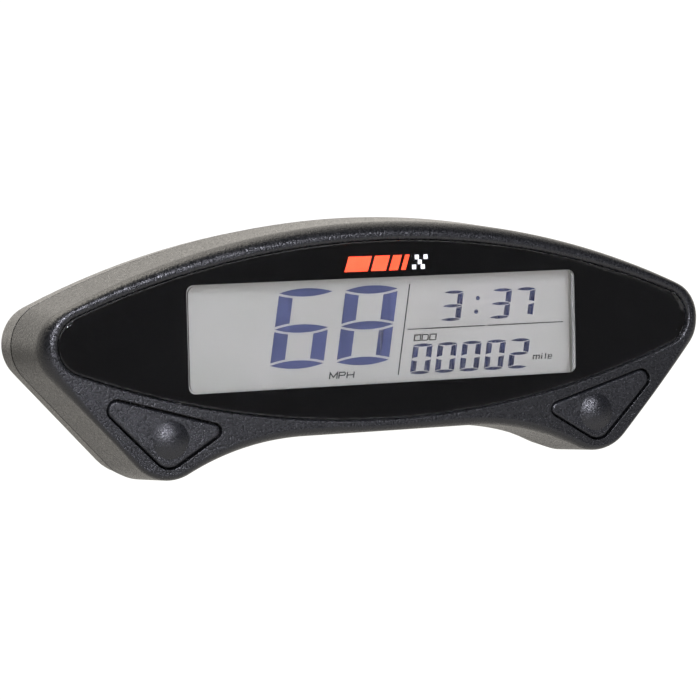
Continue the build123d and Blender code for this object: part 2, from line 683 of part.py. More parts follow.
def chip(place, body, height, legs_per_side, leg_pitch):
    """Gull wing chip on the back of the board, with legs on all four sides."""
    x, z = place
    leg_width = leg_pitch * 0.5
    leg_reach = 1.0
    leg_thick = 0.2
    with BuildPart() as piece:
        with BuildSketch(facing(BOARD_BACK)):
            with Locations(place):
                Rectangle(body, body)
        extrude(amount=-height)
        chamfer(piece.faces().sort_by(Axis.Y)[-1].edges(), height / 6)
        with BuildSketch(facing(BOARD_BACK)):
            with Locations((x - body / 2, z), (x + body / 2, z)):
                with GridLocations(0, leg_pitch, 1, legs_per_side):
                    Rectangle(2 * leg_reach, leg_width)
            with Locations((x, z - body / 2), (x, z + body / 2)):
                with GridLocations(leg_pitch, 0, legs_per_side, 1):
                    Rectangle(leg_width, 2 * leg_reach)
        extrude(amount=-leg_thick)
    return piece.part


def boxes(places, width, depth, height):
    """Equal box-shaped components on the back of the board, with a softened outer face."""
    with BuildPart() as piece:
        with BuildSketch(facing(BOARD_BACK)):
            with Locations(*places):
                Rectangle(width, depth)
        extrude(amount=-height)
        chamfer(piece.faces().filter_by(Plane.XZ).group_by(Axis.Y)[-1].edges(), height / 8)
    return piece.part


microcontroller = chip((0.0, -1.5), 10.0, 1.5, 12, 0.65)
display_driver = chip((-17.5, -6.0), 7.0, 1.4, 8, 0.65)
voltage_regulator = boxes([(-44.0, -6.5)], 6.5, 6.0, 2.3)
protection_diode = boxes([(-52.0, -13.0)], 4.5, 2.6, 2.2)
ceramic_capacitors = boxes(
    [(-38.0, -9.0), (-38.0, -12.0), (9.5, -9.0), (9.5, -6.0), (-9.0, 7.0), (19.0, -11.0)], 2.0, 1.25, 1.0
)
RESISTOR_PLACES = [(16.0 + 3.0 * column, -3.0) for column in range(4)] + [(-24.0, 7.0), (-20.5, 7.0)]
resistors = boxes(RESISTOR_PLACES, 1.6, 0.8, 0.5)

# Crystal: a metal can with rounded ends
with BuildPart() as crystal:
    with BuildSketch(facing(BOARD_BACK)):
        with Locations((15.0, 5.0)):
            SlotOverall(11.0, 4.7)
    extrude(amount=-3.6)
    fillet(crystal.faces().sort_by(Axis.Y)[-1].edges(), 0.6)

# Supply capacitor: an aluminium can on a square base
CAN_AT = (-45.0, 3.5)
with BuildPart() as supply_capacitor:
    with BuildSketch(facing(BOARD_BACK)):
        with Locations(CAN_AT):
            Rectangle(6.6, 6.6)
    extrude(amount=-0.8)
    with BuildSketch(facing(BOARD_BACK - 0.8)):
        with Locations(CAN_AT):
            Circle(3.1)
    extrude(amount=-4.6)
    fillet(supply_capacitor.faces().sort_by(Axis.Y)[-1].edges(), 0.5)

# Wire header: an open box with a row of pins, ready for the cable's connector
HEADER_AT = (0.0, -12.0)
HEADER_WIDTH, HEADER_DEPTH, HEADER_HEIGHT, HEADER_WALL = 13.0, 5.0, 5.0, 0.7
PIN_PITCH, PIN_COUNT, PIN_SIZE = 2.0, 6, 0.5
with BuildPart() as wire_header:
    with BuildSketch(facing(BOARD_BACK)):
        with Locations(HEADER_AT):
            Rectangle(HEADER_WIDTH, HEADER_DEPTH)
    extrude(amount=-HEADER_HEIGHT)
    with BuildSketch(facing(BOARD_BACK - HEADER_HEIGHT)):
        with Locations(HEADER_AT):
            Rectangle(HEADER_WIDTH - 2 * HEADER_WALL, HEADER_DEPTH - 2 * HEADER_WALL)
    extrude(amount=HEADER_HEIGHT - 2 * HEADER_WALL, mode=Mode.SUBTRACT)

with BuildPart() as header_pins:
    with BuildSketch(facing(BOARD_BACK - 2 * HEADER_WALL)):
        with Locations(HEADER_AT):
            with GridLocations(PIN_PITCH, 0, PIN_COUNT, 1):
                Rectangle(PIN_SIZE, PIN_SIZE)
    extrude(amount=-3.0)

# ----------------------------------------------------------------------------------------------
# Push buttons and their tactile switches
# ----------------------------------------------------------------------------------------------

SWITCH_FRONT = BOARD_FRONT + SWITCH_HEIGHT
PLUNGER_FRONT = SWITCH_FRONT + PLUNGER_RISE
COVER_THICK = 0.3
BOOT_THICK = 0.8
BOOT_FRONT = PLUNGER_FRONT + BOOT_THICK
STEM_RADIUS = 2.0
PLUNGER_GAP = 0.05


def switch_place(side):
    """Centre of one side's switch."""
    return (side * SWITCH_AT[0], SWITCH_AT[1])


def switch_base(side):
    """Square moulded body of a tactile switch, with the well that its plunger runs in."""
    well_back = BOARD_FRONT + 0.8
    with BuildPart() as piece:
        with BuildSketch(facing(BOARD_FRONT)):
            with Locations(switch_place(side)):
                Rectangle(SWITCH_SIZE, SWITCH_SIZE)
        extrude(amount=SWITCH_HEIGHT - COVER_THICK)
        with BuildSketch(facing(SWITCH_FRONT - COVER_THICK)):
            with Locations(switch_place(side)):
                Circle(PLUNGER_RADIUS + PLUNGER_GAP)
        extrude(amount=well_back - SWITCH_FRONT + COVER_THICK, mode=Mode.SUBTRACT)
    return piece.part


def switch_cover(side):
    """Pressed steel plate that holds a switch together, with a hole for the plunger."""
    with BuildPart() as piece:
        with BuildSketch(facing(SWITCH_FRONT)):
            with Locations(switch_place(side)):
                RectangleRounded(SWITCH_SIZE, SWITCH_SIZE, 0.4)
                Circle(PLUNGER_RADIUS + PLUNGER_GAP, mode=Mode.SUBTRACT)
        extrude(amount=-COVER_THICK)
    return piece.part


def snap_dome(side):
    """Thin steel disc at the bottom of a switch's well, which clicks and pushes the plunger back."""
    with BuildPart() as piece:
        with BuildSketch(facing(BOARD_FRONT + 0.8)):
            with Locations(switch_place(side)):
                Circle(PLUNGER_RADIUS - 0.1)
        extrude(amount=0.2)
    return piece.part


def switch_plunger(side):
    """Round plunger of a switch."""
    plunger_back = BOARD_FRONT + 1.0 + TRAVEL + 0.1
    with BuildPart() as piece:
        with BuildSketch(facing(plunger_back)):
            with Locations(switch_place(side)):
                Circle(PLUNGER_RADIUS)
        extrude(amount=PLUNGER_FRONT - plunger_back)
        chamfer(piece.edges().sort_by(Axis.Y)[0], 0.2)
    return piece.part


def switch_boot(side):
    """Silicone cup that keeps water out of a switch: a lid on the plunger with a short skirt."""
    inner = PLUNGER_RADIUS + 0.15
    skirt_back = SWITCH_FRONT + TRAVEL + 0.2
    with BuildPart() as piece:
        with BuildSketch(facing(skirt_back)):
            with Locations(switch_place(side)):
                Circle(inner + BOOT_THICK)
        extrude(amount=BOOT_FRONT - skirt_back)
        fillet(piece.edges().sort_by(Axis.Y)[0], BOOT_THICK / 2)
        with BuildSketch(facing(skirt_back)):
            with Locations(switch_place(side)):
                Circle(inner)
        extrude(amount=PLUNGER_FRONT - skirt_back, mode=Mode.SUBTRACT)
    return piece.part


DOME_SPHERE = (DOME_RADIUS**2 + DOME_RISE**2) / (2 * DOME_RISE)
DOME_SINK = 0.02


def button_cap(side):
    """Triangular cap with a finger dome in front, and a flange and a stem behind the bezel."""
    x, z = switch_place(side)
    dome_base = -BUTTON_FRONT + DOME_SINK
    with BuildPart() as piece:
        with BuildSketch(facing(BUTTON_FRONT)):
            add(button_outline(side, -BUTTON_GAP))
        extrude(amount=FLANGE_FRONT - BUTTON_FRONT)
        fillet(piece.faces().sort_by(Axis.Y)[0].edges(), CAP_EDGE)
        with BuildSketch(facing(FLANGE_FRONT)):
            add(button_outline(side, BUTTON_FLANGE))
        extrude(amount=-FLANGE_THICK)
        with BuildSketch(facing(FLANGE_FRONT)):
            with Locations((x, z)):
                Circle(STEM_RADIUS)
        extrude(amount=BOOT_FRONT - FLANGE_FRONT)
        with BuildSketch(Plane.XY.offset(z)):
            with BuildLine():
                Line((x, dome_base), (x + DOME_RADIUS, dome_base))
                RadiusArc((x + DOME_RADIUS, dome_base), (x, dome_base - DOME_RISE), DOME_SPHERE)
                Line((x, dome_base - DOME_RISE), (x, dome_base))
            make_face()
        revolve(axis=Axis((x, 0, z), (0, 1, 0)))
    return piece.part


# ----------------------------------------------------------------------------------------------
# Fasteners and rear fittings
# ----------------------------------------------------------------------------------------------


def screws(places, seat, shank_radius, length, head_radius, head_height):
    """Pan head screws driven forwards from a seat height, with a cross recess in each head."""
    with BuildPart() as piece:
        with BuildSketch(facing(seat)):
            with Locations(*places):
                Circle(shank_radius)
        extrude(amount=length)
        with BuildSketch(facing(seat)):
            with Locations(*places):
                Circle(head_radius)
        extrude(amount=-head_height)
        fillet(piece.faces().filter_by(Plane.XZ).group_by(Axis.Y)[-1].edges(), head_height * 0.4)
        with BuildSketch(facing(seat - head_height)):
            with Locations(*places):
                Rectangle(head_radius * 1.1, head_radius * 0.28)
                Rectangle(head_radius * 0.28, head_radius * 1.1)
        extrude(amount=head_height * 0.6, mode=Mode.SUBTRACT)
    return piece.part


case_screws = screws(
    both_sides(CASE_SCREWS), CASE_SCREW_SEAT, CASE_SCREW_RADIUS, CASE_SCREW_LENGTH,
    CASE_HEAD_RADIUS, CASE_HEAD_HEIGHT,
)
board_screws = screws(
    both_sides(BOARD_SCREWS), BOARD_BACK, BOARD_SCREW_RADIUS, BOARD_SCREW_LENGTH + BOARD_THICK,
    BOARD_HEAD_RADIUS, BOARD_HEAD_HEIGHT,
)

# Mounting inserts: brass bushes with two holding grooves, moulded into the rear bosses
INSERT_GROOVE = 0.4
with BuildPart() as mount_inserts:
    with BuildSketch(facing(MOUNT_FACE)):
        with Locations((MOUNT_HALF_SPACING, 0), (-MOUNT_HALF_SPACING, 0)):
            Circle(INSERT_RADIUS)
    extrude(amount=INSERT_LENGTH)
    for groove_back in (2.0, 4.2):
        with BuildSketch(facing(groove_back)):
            with Locations((MOUNT_HALF_SPACING, 0), (-MOUNT_HALF_SPACING, 0)):
                Circle(INSERT_RADIUS)
                Circle(INSERT_RADIUS - INSERT_GROOVE, mode=Mode.SUBTRACT)
        extrude(amount=0.8, mode=Mode.SUBTRACT)
    with BuildSketch(facing(MOUNT_FACE)):
        with Locations((MOUNT_HALF_SPACING, 0), (-MOUNT_HALF_SPACING, 0)):
            Circle(INSERT_BORE_RADIUS)
    extrude(amount=INSERT_LENGTH, mode=Mode.SUBTRACT)

# Cable grommet: a rubber bush, flanged on both sides of the rear wall, with a short nozzle
GROMMET_FLANGE_RADIUS = 5.6
GROMMET_FLANGE = 1.2
NOZZLE_BACK = 0.4
NOZZLE_WALL = 1.0
FLANGE_STEP = 0.4
with BuildPart() as cable_grommet:
    with BuildSketch(facing(NOZZLE_BACK)):
        with Locations(CABLE_AT):
            Circle(CABLE_BORE_RADIUS + NOZZLE_WALL)
    extrude(amount=FLOOR_FRONT - NOZZLE_BACK)
    with BuildSketch(facing(BACK_FACE)):
        with Locations(CABLE_AT):
            Circle(GROMMET_NECK_RADIUS)
    extrude(amount=FLOOR_FRONT - BACK_FACE)
    with BuildSketch(facing(BACK_FACE)):
        with Locations(CABLE_AT):
            Circle(GROMMET_FLANGE_RADIUS)
    extrude(amount=-GROMMET_FLANGE)
    with BuildSketch(facing(FLOOR_FRONT)):
        with Locations(CABLE_AT):
            Circle(GROMMET_FLANGE_RADIUS - FLANGE_STEP)
    extrude(amount=GROMMET_FLANGE)
    with BuildSketch(facing(NOZZLE_BACK)):
        with Locations(CABLE_AT):
            Circle(CABLE_BORE_RADIUS)
    extrude(amount=FLOOR_FRONT + GROMMET_FLANGE - NOZZLE_BACK, mode=Mode.SUBTRACT)

# Breather: a plug with a membrane that lets pressure out and keeps water from coming in
VENT_CAP_RADIUS = 3.2
VENT_CAP = 1.0
VENT_ROUND = 0.4
with BuildPart() as breather_vent:
    with BuildSketch(facing(BACK_FACE)):
        with Locations(VENT_AT):
            Circle(VENT_CAP_RADIUS)
    extrude(amount=-VENT_CAP)
    fillet(breather_vent.edges().sort_by(Axis.Y)[-1], VENT_ROUND)
    with BuildSketch(facing(BACK_FACE)):
        with Locations(VENT_AT):
            Circle(VENT_NECK_RADIUS)
    extrude(amount=FLOOR_FRONT - BACK_FACE)

# ----------------------------------------------------------------------------------------------
# Names and files
# ----------------------------------------------------------------------------------------------

pieces = {
    "front_bezel": front_bezel.part,
    "rear_housing": rear_housing.part,
    "housing_seal": housing_seal.part,
    "lens": lens.part,
    "lens_mask": lens_mask.part,
    "lens_tape": lens_tape.part,
    "orange_stripes": orange_stripes.part,
    "white_checks": white_checks.part,
    "display_gasket": display_gasket.part,
    "front_polarizer": front_polarizer,
    "front_glass": front_glass,
    "cell_seal": cell_seal.part,
    "lcd_digits": lcd_digits,
    "lcd_legends": lcd_legends,
    "rear_glass": rear_glass,
    "rear_polarizer": rear_polarizer,
    "light_guide": light_guide,
    "reflector_sheet": reflector_sheet.part,
    "display_tray": display_tray.part,
    "contact_strip": contact_strip.part,
    "main_board": main_board.part,
    "microcontroller": microcontroller,
    "display_driver": display_driver,
    "voltage_regulator": voltage_regulator,
    "protection_diode": protection_diode,
    "ceramic_capacitors": ceramic_capacitors,
    "resistors": resistors,
    "crystal": crystal.part,
    "supply_capacitor": supply_capacitor.part,
    "wire_header": wire_header.part,
    "header_pins": header_pins.part,
    "case_screws": case_screws,
    "board_screws": board_screws,
    "mount_inserts": mount_inserts.part,
    "cable_grommet": cable_grommet.part,
    "breather_vent": breather_vent.part,
}
for number, place in enumerate(LED_PLACES, start=1):
    pieces[f"backlight_lamp_{number}"] = lamp(place)
for hand, side in (("right", 1), ("left", -1)):
    pieces[f"{hand}_button_cap"] = button_cap(side)
    pieces[f"{hand}_switch_base"] = switch_base(side)
    pieces[f"{hand}_switch_cover"] = switch_cover(side)
    pieces[f"{hand}_snap_dome"] = snap_dome(side)
    pieces[f"{hand}_switch_plunger"] = switch_plunger(side)
    pieces[f"{hand}_switch_boot"] = switch_boot(side)

os.makedirs("parts", exist_ok=True)
for name, part in pieces.items():
    part.label = name
    export_step(part, f"parts/{name}.step")
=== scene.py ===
# %% [markdown]
# # A motorcycle instrument cluster
#
# The object is a handlebar speedometer: a wing-shaped case of grained black plastic, a wide glossy
# lens over a liquid crystal display, and one triangular push button in each lower lobe. The packed
# CAD model is loaded first as a fixed frame. Everything made here takes its place from that frame,
# in metres, with +X to the rider's right, +Z up and the display facing -Y.
#
# Most CAD pieces already have the right shape and only need a material. The front bezel is the
# exception: the real one has a rounded rim whose width changes round the case, so it is built here
# as a new mesh that stands for the CAD one.

# %% Load the frame
import json
import math

import bmesh
import bpy
from mathutils import Matrix, Vector
from mathutils.geometry import delaunay_2d_cdt


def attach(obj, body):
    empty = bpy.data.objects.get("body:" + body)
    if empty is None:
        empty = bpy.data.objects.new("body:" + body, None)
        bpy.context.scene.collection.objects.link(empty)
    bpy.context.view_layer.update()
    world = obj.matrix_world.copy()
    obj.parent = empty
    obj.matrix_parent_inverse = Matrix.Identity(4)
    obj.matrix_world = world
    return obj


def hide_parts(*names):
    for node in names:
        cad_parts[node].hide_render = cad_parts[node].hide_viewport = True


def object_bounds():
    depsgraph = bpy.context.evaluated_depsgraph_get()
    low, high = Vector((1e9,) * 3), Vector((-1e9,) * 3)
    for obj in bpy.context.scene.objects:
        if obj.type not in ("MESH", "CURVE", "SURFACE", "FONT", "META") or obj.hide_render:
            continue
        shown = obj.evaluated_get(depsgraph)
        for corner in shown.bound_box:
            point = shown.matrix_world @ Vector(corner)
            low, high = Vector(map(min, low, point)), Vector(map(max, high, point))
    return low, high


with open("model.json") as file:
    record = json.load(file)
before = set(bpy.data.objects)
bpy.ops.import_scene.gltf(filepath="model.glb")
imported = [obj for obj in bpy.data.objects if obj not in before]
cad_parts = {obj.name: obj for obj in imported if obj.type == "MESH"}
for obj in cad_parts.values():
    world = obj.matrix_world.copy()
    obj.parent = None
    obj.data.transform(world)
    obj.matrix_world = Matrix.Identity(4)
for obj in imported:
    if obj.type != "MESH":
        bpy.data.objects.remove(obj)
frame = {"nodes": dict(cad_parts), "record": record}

MM = 0.001
nodes = frame["nodes"]
cad_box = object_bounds()

# %% [markdown]
# ## Small helpers
#
# Colours are chosen as sRGB hex values, the way a paint chart gives them, while Cycles computes in
# linear light, so one function converts them. Materials are node trees, and nearly every line of a
# node tree adds a node, sets it up and links it, so one function does those three things.
#
# Two groups of nodes come back often. Real surfaces are never one flat colour, so most get slow
# patches between two close tones. And a surface sometimes has to answer one kind of ray in its own
# way, such as a clear pane that lets shadow rays through.

# %% Colour and node helpers
def linear(hex_colour):
    """Linear RGBA from an sRGB hex colour such as '#202124'."""
    channels = [int(hex_colour[i : i + 2], 16) / 255 for i in (1, 3, 5)]
    return [c / 12.92 if c <= 0.04045 else ((c + 0.055) / 1.055) ** 2.4 for c in channels] + [1.0]


def add_node(tree, kind, settings=None, **sockets):
    """Adds a node of this kind, sets its properties, then fills or links its input sockets.

    A socket goes by its name, with _ for each space, or by its place, so that _2 is socket 2.
    """
    node = tree.nodes.new(kind)
    for name, value in (settings or {}).items():
        setattr(node, name, value)
    for name, value in sockets.items():
        key = int(name[1:]) if name[1:].isdigit() else name.replace("_", " ")
        if isinstance(value, bpy.types.NodeSocket):
            tree.links.new(value, node.inputs[key])
        else:
            node.inputs[key].default_value = value
    return node


def new_material(name):
    """An empty material and its node tree."""
    material = bpy.data.materials.new(name)
    material.use_nodes = True
    material.node_tree.nodes.clear()
    return material, material.node_tree


print("charcoal in linear light:", [round(c, 4) for c in linear("#2a2b2e")])

# %% Tone patches and rays
def tone_patches(tree, tones, **noise):
    """Slow patches between two close colours; returns the pattern and the colour it gives."""
    dark, light = (linear(tone) for tone in tones)
    pattern = add_node(tree, "ShaderNodeTexNoise", **noise).outputs["Fac"]
    tone = add_node(tree, "ShaderNodeMix", {"data_type": "RGBA"}, _0=pattern, _6=dark, _7=light)
    return pattern, tone.outputs[2]


def by_ray(tree, ray, others, this):
    """One shader for this kind of ray, and another for all others."""
    path = add_node(tree, "ShaderNodeLightPath")
    return add_node(
        tree, "ShaderNodeMixShader", _0=path.outputs[ray], _1=others.outputs[0], _2=this.outputs[0]
    )


print("helpers ready: linear, add_node, new_material, tone_patches, by_ray")

# %% [markdown]
# ## Camera
#
# A long lens keeps the two ends of a wide part nearly the same size. It stands about 0.6 m away, to
# the left of the display and a little above it. The camera is turned by its own three directions,
# so that its slight roll is exact.

# %% Camera
CAMERA_PLACE = Vector((-261.9, -542.0, 31.1)) * MM
CAMERA_YAW = math.radians(26.21)
CAMERA_PITCH = math.radians(3.5)
CAMERA_ROLL = math.radians(-1.34)
LENS_LENGTH, SENSOR_WIDTH = 154.2857, 36.0
NEAREST_SEEN = 10 * MM


def make_camera():
    """The camera, from the direction it looks in and its roll about that direction."""
    ahead = (math.sin(CAMERA_YAW), math.cos(CAMERA_YAW), -math.tan(CAMERA_PITCH))
    forward = Vector(ahead).normalized()
    level = forward.cross(Vector((0, 0, 1))).normalized()
    upright = level.cross(forward)
    right = level * math.cos(CAMERA_ROLL) + upright * math.sin(CAMERA_ROLL)
    up = right.cross(forward)
    data = bpy.data.cameras.new("camera")
    data.sensor_width = SENSOR_WIDTH
    data.lens = LENS_LENGTH
    data.clip_start = NEAREST_SEEN
    camera = bpy.data.objects.new("camera", data)
    bpy.context.scene.collection.objects.link(camera)
    turn = Matrix((right, up, -forward)).transposed().to_4x4()
    camera.matrix_world = Matrix.Translation(CAMERA_PLACE) @ turn
    bpy.context.scene.camera = camera
    return camera


camera = make_camera()
print("camera lens:", round(camera.data.lens, 1), "mm")

# %% [markdown]
# ## Studio
#
# Black plastic shows mostly what it mirrors, so the light is arranged by direction. The white sweep
# behind is bright and rims the sides, and the room in front is dim and keeps the lens black. A
# gradient over the world's direction does both. The sweep is plain white where the camera looks
# straight at it.

# %% White sweep
# How much of a direction points to +Y where the sweep begins, and where it is fully bright.
SWEEP_START, SWEEP_END = -0.25, 0.75
ROOM_GLOW, SWEEP_GLOW, SWEEP_SEEN = 0.036, 1.25, 1.1


def make_world():
    """A world that brightens from the room in front (-Y) to the sweep behind (+Y)."""
    world = bpy.data.worlds.new("studio")
    bpy.context.scene.world = world
    world.use_nodes = True
    tree = world.node_tree
    tree.nodes.clear()
    direction = add_node(tree, "ShaderNodeTexCoord")
    split = add_node(tree, "ShaderNodeSeparateXYZ", Vector=direction.outputs["Generated"])
    glow = add_node(
        tree, "ShaderNodeMapRange", {"interpolation_type": "SMOOTHSTEP"}, Value=split.outputs["Y"],
        From_Min=SWEEP_START, From_Max=SWEEP_END, To_Min=ROOM_GLOW, To_Max=SWEEP_GLOW,
    )
    warm = linear("#fff9f0")
    room = add_node(tree, "ShaderNodeBackground", Color=warm, Strength=glow.outputs["Result"])
    seen = add_node(tree, "ShaderNodeBackground", Color=linear("#ffffff"), Strength=SWEEP_SEEN)
    both = by_ray(tree, "Is Camera Ray", room, seen)
    add_node(tree, "ShaderNodeOutputWorld", Surface=both.outputs[0])


make_world()
print("sweep is", round(SWEEP_GLOW / ROOM_GLOW), "times as bright as the room in front")

# %% [markdown]
# ### Floor
#
# The part hangs over a plain pale floor, which lights its undersides. Paper that is lit from above
# would look grey beside the sweep, so where the camera sees it the same tone glows a little.

# %% Floor
FLOOR_SIZE, FLOOR_BEHIND, FLOOR_DROP = 4.0, 1.4, 0.15
PATCHES_ACROSS_PAPER = 40.0
PAPER_SEEN = 1.85


def make_floor():
    """Matt paper, which scatters light evenly and shows no reflection."""
    height = cad_box[0].z - FLOOR_DROP
    bpy.ops.mesh.primitive_plane_add(size=FLOOR_SIZE, location=(0, FLOOR_BEHIND, height))
    floor = bpy.context.object
    floor.name = "floor"
    material, tree = new_material("matt_white_paper")
    _, tone = tone_patches(tree, ("#c6c6c4", "#ccccca"), Scale=PATCHES_ACROSS_PAPER)
    paper = add_node(tree, "ShaderNodeBsdfPrincipled", Base_Color=tone, Roughness=0.9)
    seen = add_node(tree, "ShaderNodeEmission", Color=tone, Strength=PAPER_SEEN)
    both = by_ray(tree, "Is Camera Ray", paper, seen)
    add_node(tree, "ShaderNodeOutputMaterial", Surface=both.outputs[0])
    floor.data.materials.append(material)


make_floor()
print("floor is", FLOOR_DROP, "m below the object")

# %% [markdown]
# ### Lamps
#
# A small soft lamp in front and above picks out the grain, the button domes and the rounded edges.
# It is slightly cool, which gives black plastic its blue-grey highlights. A wide warm lamp overhead
# fills the top wall.

# %% Lamps
CENTRE = (cad_box[0] + cad_box[1]) / 2
# Name, place from the centre, size across, watts and tint.
LAMPS = (
    ("front_soft", Vector((-0.036, -1.146, 0.354)), 0.22, 16.0, "#f0f0ff"),
    ("overhead_soft", Vector((-0.25, 0.25, 0.9)), 0.9, 8.0, "#fff8ec"),
)


def area_light(name, place, size, power, tint):
    """A round soft lamp at this place from the object's centre, facing the object."""
    data = bpy.data.lights.new(name, "AREA")
    data.shape = "DISK"
    data.size = size
    data.energy = power
    data.color = linear(tint)[:3]
    lamp = bpy.data.objects.new(name, data)
    lamp.location = CENTRE + place
    lamp.rotation_mode = "QUATERNION"
    lamp.rotation_quaternion = (-place).to_track_quat("-Z", "Y")
    bpy.context.scene.collection.objects.link(lamp)


for lamp_facts in LAMPS:
    area_light(*lamp_facts)
bpy.context.scene.view_settings.view_transform = "Standard"
print("lamps:", len(LAMPS))

# %% [markdown]
# ## Outlines
#
# The bezel is drawn from outlines in the plane of the display, in millimetres. The case and the
# lens are closed walks along arcs and lines, clockwise from the top of the middle plane. Every
# point carries its outward normal and its roll, which is the width of the rounded edge there, so
# one section can travel round the outline with a changing radius.

# %% Walk along arcs and lines
POINT_STEP = 0.6


def arc_top(apex, radius, x):
    """Height at x of an arc whose highest point is apex, on the middle plane."""
    return apex - radius + math.sqrt(radius**2 - x**2)


def arc_points(centre, radius, start, end, roll, outward=1):
    """Points round an arc; outward is -1 where the case lies outside the arc's circle."""
    count = max(4, round(abs(end - start) * radius / POINT_STEP))
    points = []
    for i in range(count):
        angle = start + (end - start) * i / count
        normal = Vector((math.cos(angle), math.sin(angle)))
        points.append((centre + normal * radius, normal * outward, roll))
    return points


def line_points(start, end, roll):
    """Points along a line walked clockwise, with its outward normal."""
    count = max(2, round((end - start).length / POINT_STEP))
    along = (end - start).normalized()
    normal = Vector((-along.y, along.x))
    return [(start.lerp(end, i / count), normal, roll) for i in range(count)]


def heading(centre, point):
    """Angle of a point seen from a centre."""
    return math.atan2(point.y - centre.y, point.x - centre.x)


print("a 10 mm line has", len(line_points(Vector((0, 0)), Vector((10, 0)), 0)), "points")

# %% Mirror an outline and even its roll
SMOOTHING_REACH, SMOOTHING_ROUNDS = 14, 2


def mirrored(points):
    """The right half walked clockwise from the top, followed by its mirror image."""
    back = points[-2:0:-1]
    return points + [(Vector((-p.x, p.y)), Vector((-n.x, n.y)), roll) for p, n, roll in back]


def smooth_roll(points):
    """Evens the roll over neighbouring points, so that one rim width runs into the next."""
    total = len(points)
    reach = range(-SMOOTHING_REACH, SMOOTHING_REACH + 1)
    rolls = [roll for _, _, roll in points]
    for _ in range(SMOOTHING_ROUNDS):
        rolls = [sum(rolls[(i + k) % total] for k in reach) / len(reach) for i in range(total)]
    return [(place, normal, roll) for (place, normal, _), roll in zip(points, rolls, strict=True)]


print("roll is evened over", round(2 * SMOOTHING_REACH * POINT_STEP, 1), "mm")

# %% [markdown]
# ### Lens opening
#
# Two wide arcs, the upper one slightly flatter than the case's top, meet in a small arc at each
# tip. The edge of the opening is rounded more along the top than along the bottom.

# %% Lens opening
LENS_RADIUS, LENS_TOP, LENS_BOTTOM = 175.0, 16.7, -17.65
# The corner is where the two arcs would meet if the tip weren't rounded.
LENS_CORNER_X, LENS_TIP_ROUND = 76.3, 5.6
LENS_ROLL_TOP, LENS_ROLL_LOW = 0.85, 0.4


def lens_outline():
    """The lens opening: upper arc, tip arc and lower arc, then the mirror image."""
    corner = Vector((LENS_CORNER_X, arc_top(LENS_TOP, LENS_RADIUS, LENS_CORNER_X)))
    rise = corner.y - LENS_BOTTOM
    lower_radius = (corner.x**2 + rise**2) / (2 * rise)
    upper = Vector((0, LENS_TOP - LENS_RADIUS))
    lower = Vector((0, LENS_BOTTOM + lower_radius))
    gap = (lower - upper).length
    reach_up, reach_low = LENS_RADIUS - LENS_TIP_ROUND, lower_radius - LENS_TIP_ROUND
    y = (reach_up**2 - reach_low**2 + gap**2) / (2 * gap)
    tip_centre = upper + Vector((math.sqrt(reach_up**2 - y**2), y))
    up_angle, low_angle = heading(upper, tip_centre), heading(lower, tip_centre)
    half = arc_points(upper, LENS_RADIUS, math.pi / 2, up_angle, LENS_ROLL_TOP)
    half += arc_points(tip_centre, LENS_TIP_ROUND, up_angle, low_angle, LENS_ROLL_TOP)
    half += arc_points(lower, lower_radius, low_angle, -math.pi / 2, LENS_ROLL_LOW)
    half.append((Vector((0, LENS_BOTTOM)), Vector((0, -1)), LENS_ROLL_LOW))
    return smooth_roll(mirrored(half))


print("lens opening:", len(lens_outline()), "points")

# %% [markdown]
# ### Button openings
#
# Each button opening is a triangle with three different corner rounds. A corner's arc lies on the
# bisector of its two sides, at the distance where it just touches both.

# %% Button openings
BUTTON_CORNERS = (Vector((63.6, -8.85)), Vector((33.5, -17.4)), Vector((46.9, -25.4)))
BUTTON_ROUNDS = (2.0, 1.5, 3.5)
BUTTON_ROLL = 0.15
CORNER_STEPS = 8


def button_outline(side):
    """Rounded triangle in the right lobe (side 1) or the left one (side -1)."""
    points = []
    for i, (corner, rounding) in enumerate(zip(BUTTON_CORNERS, BUTTON_ROUNDS, strict=True)):
        before, after = BUTTON_CORNERS[i - 1], BUTTON_CORNERS[i - 2]
        to_before, to_after = (before - corner).normalized(), (after - corner).normalized()
        bisector = (to_before + to_after).normalized()
        half_angle = math.acos(to_before.dot(bisector))
        centre = corner + bisector * (rounding / math.sin(half_angle))
        turn = math.pi / 2 - half_angle
        for step in range(CORNER_STEPS + 1):
            angle = heading(centre, corner) - turn + 2 * turn * step / CORNER_STEPS
            normal = Vector((math.cos(angle), math.sin(angle)))
            points.append((centre + normal * rounding, normal, BUTTON_ROLL))
    return [(Vector((side * p.x, p.y)), Vector((side * n.x, n.y)), roll) for p, n, roll in points]


print("button opening:", len(button_outline(1)), "points")

# %% [markdown]
# ### Case
#
# The case is a wide arc along the top, a small arc round each tip, a straight side, a round lobe,
# and two flank arcs with a flat between them in the arch underneath. The tip and the lobe are arcs
# that touch a straight side and another arc, so their centres are worked out from both.
#
# The moulded front is rounded generously along the top and round both tips, more gently in the
# arch, and only just broken along the sides and the lobes.

# %% Case outline
TOP_RADIUS, TOP_APEX = 161.0, 20.2
# The corners are where the straight side would meet its neighbours if nothing were rounded.
TIP_CORNER_X, TIP_ROUND = 76.0, 7.5
LOBE_CORNER, LOBE_ROUND = Vector((47.9, -28.95)), 9.0
ARCH_FLAT_HALF, ARCH_LEVEL, FLANK_RADIUS = 17.8, -20.0, 55.0
TOP_CENTRE = Vector((0, TOP_APEX - TOP_RADIUS))
FLANK_CENTRE = Vector((ARCH_FLAT_HALF, ARCH_LEVEL - FLANK_RADIUS))
ROLL_TOP, ROLL_SIDE, ROLL_ARCH = 3.0, 0.7, 1.6
# Face left between the rim and the lens opening, where they come closest.
FLAT_BESIDE_LENS = 1.12


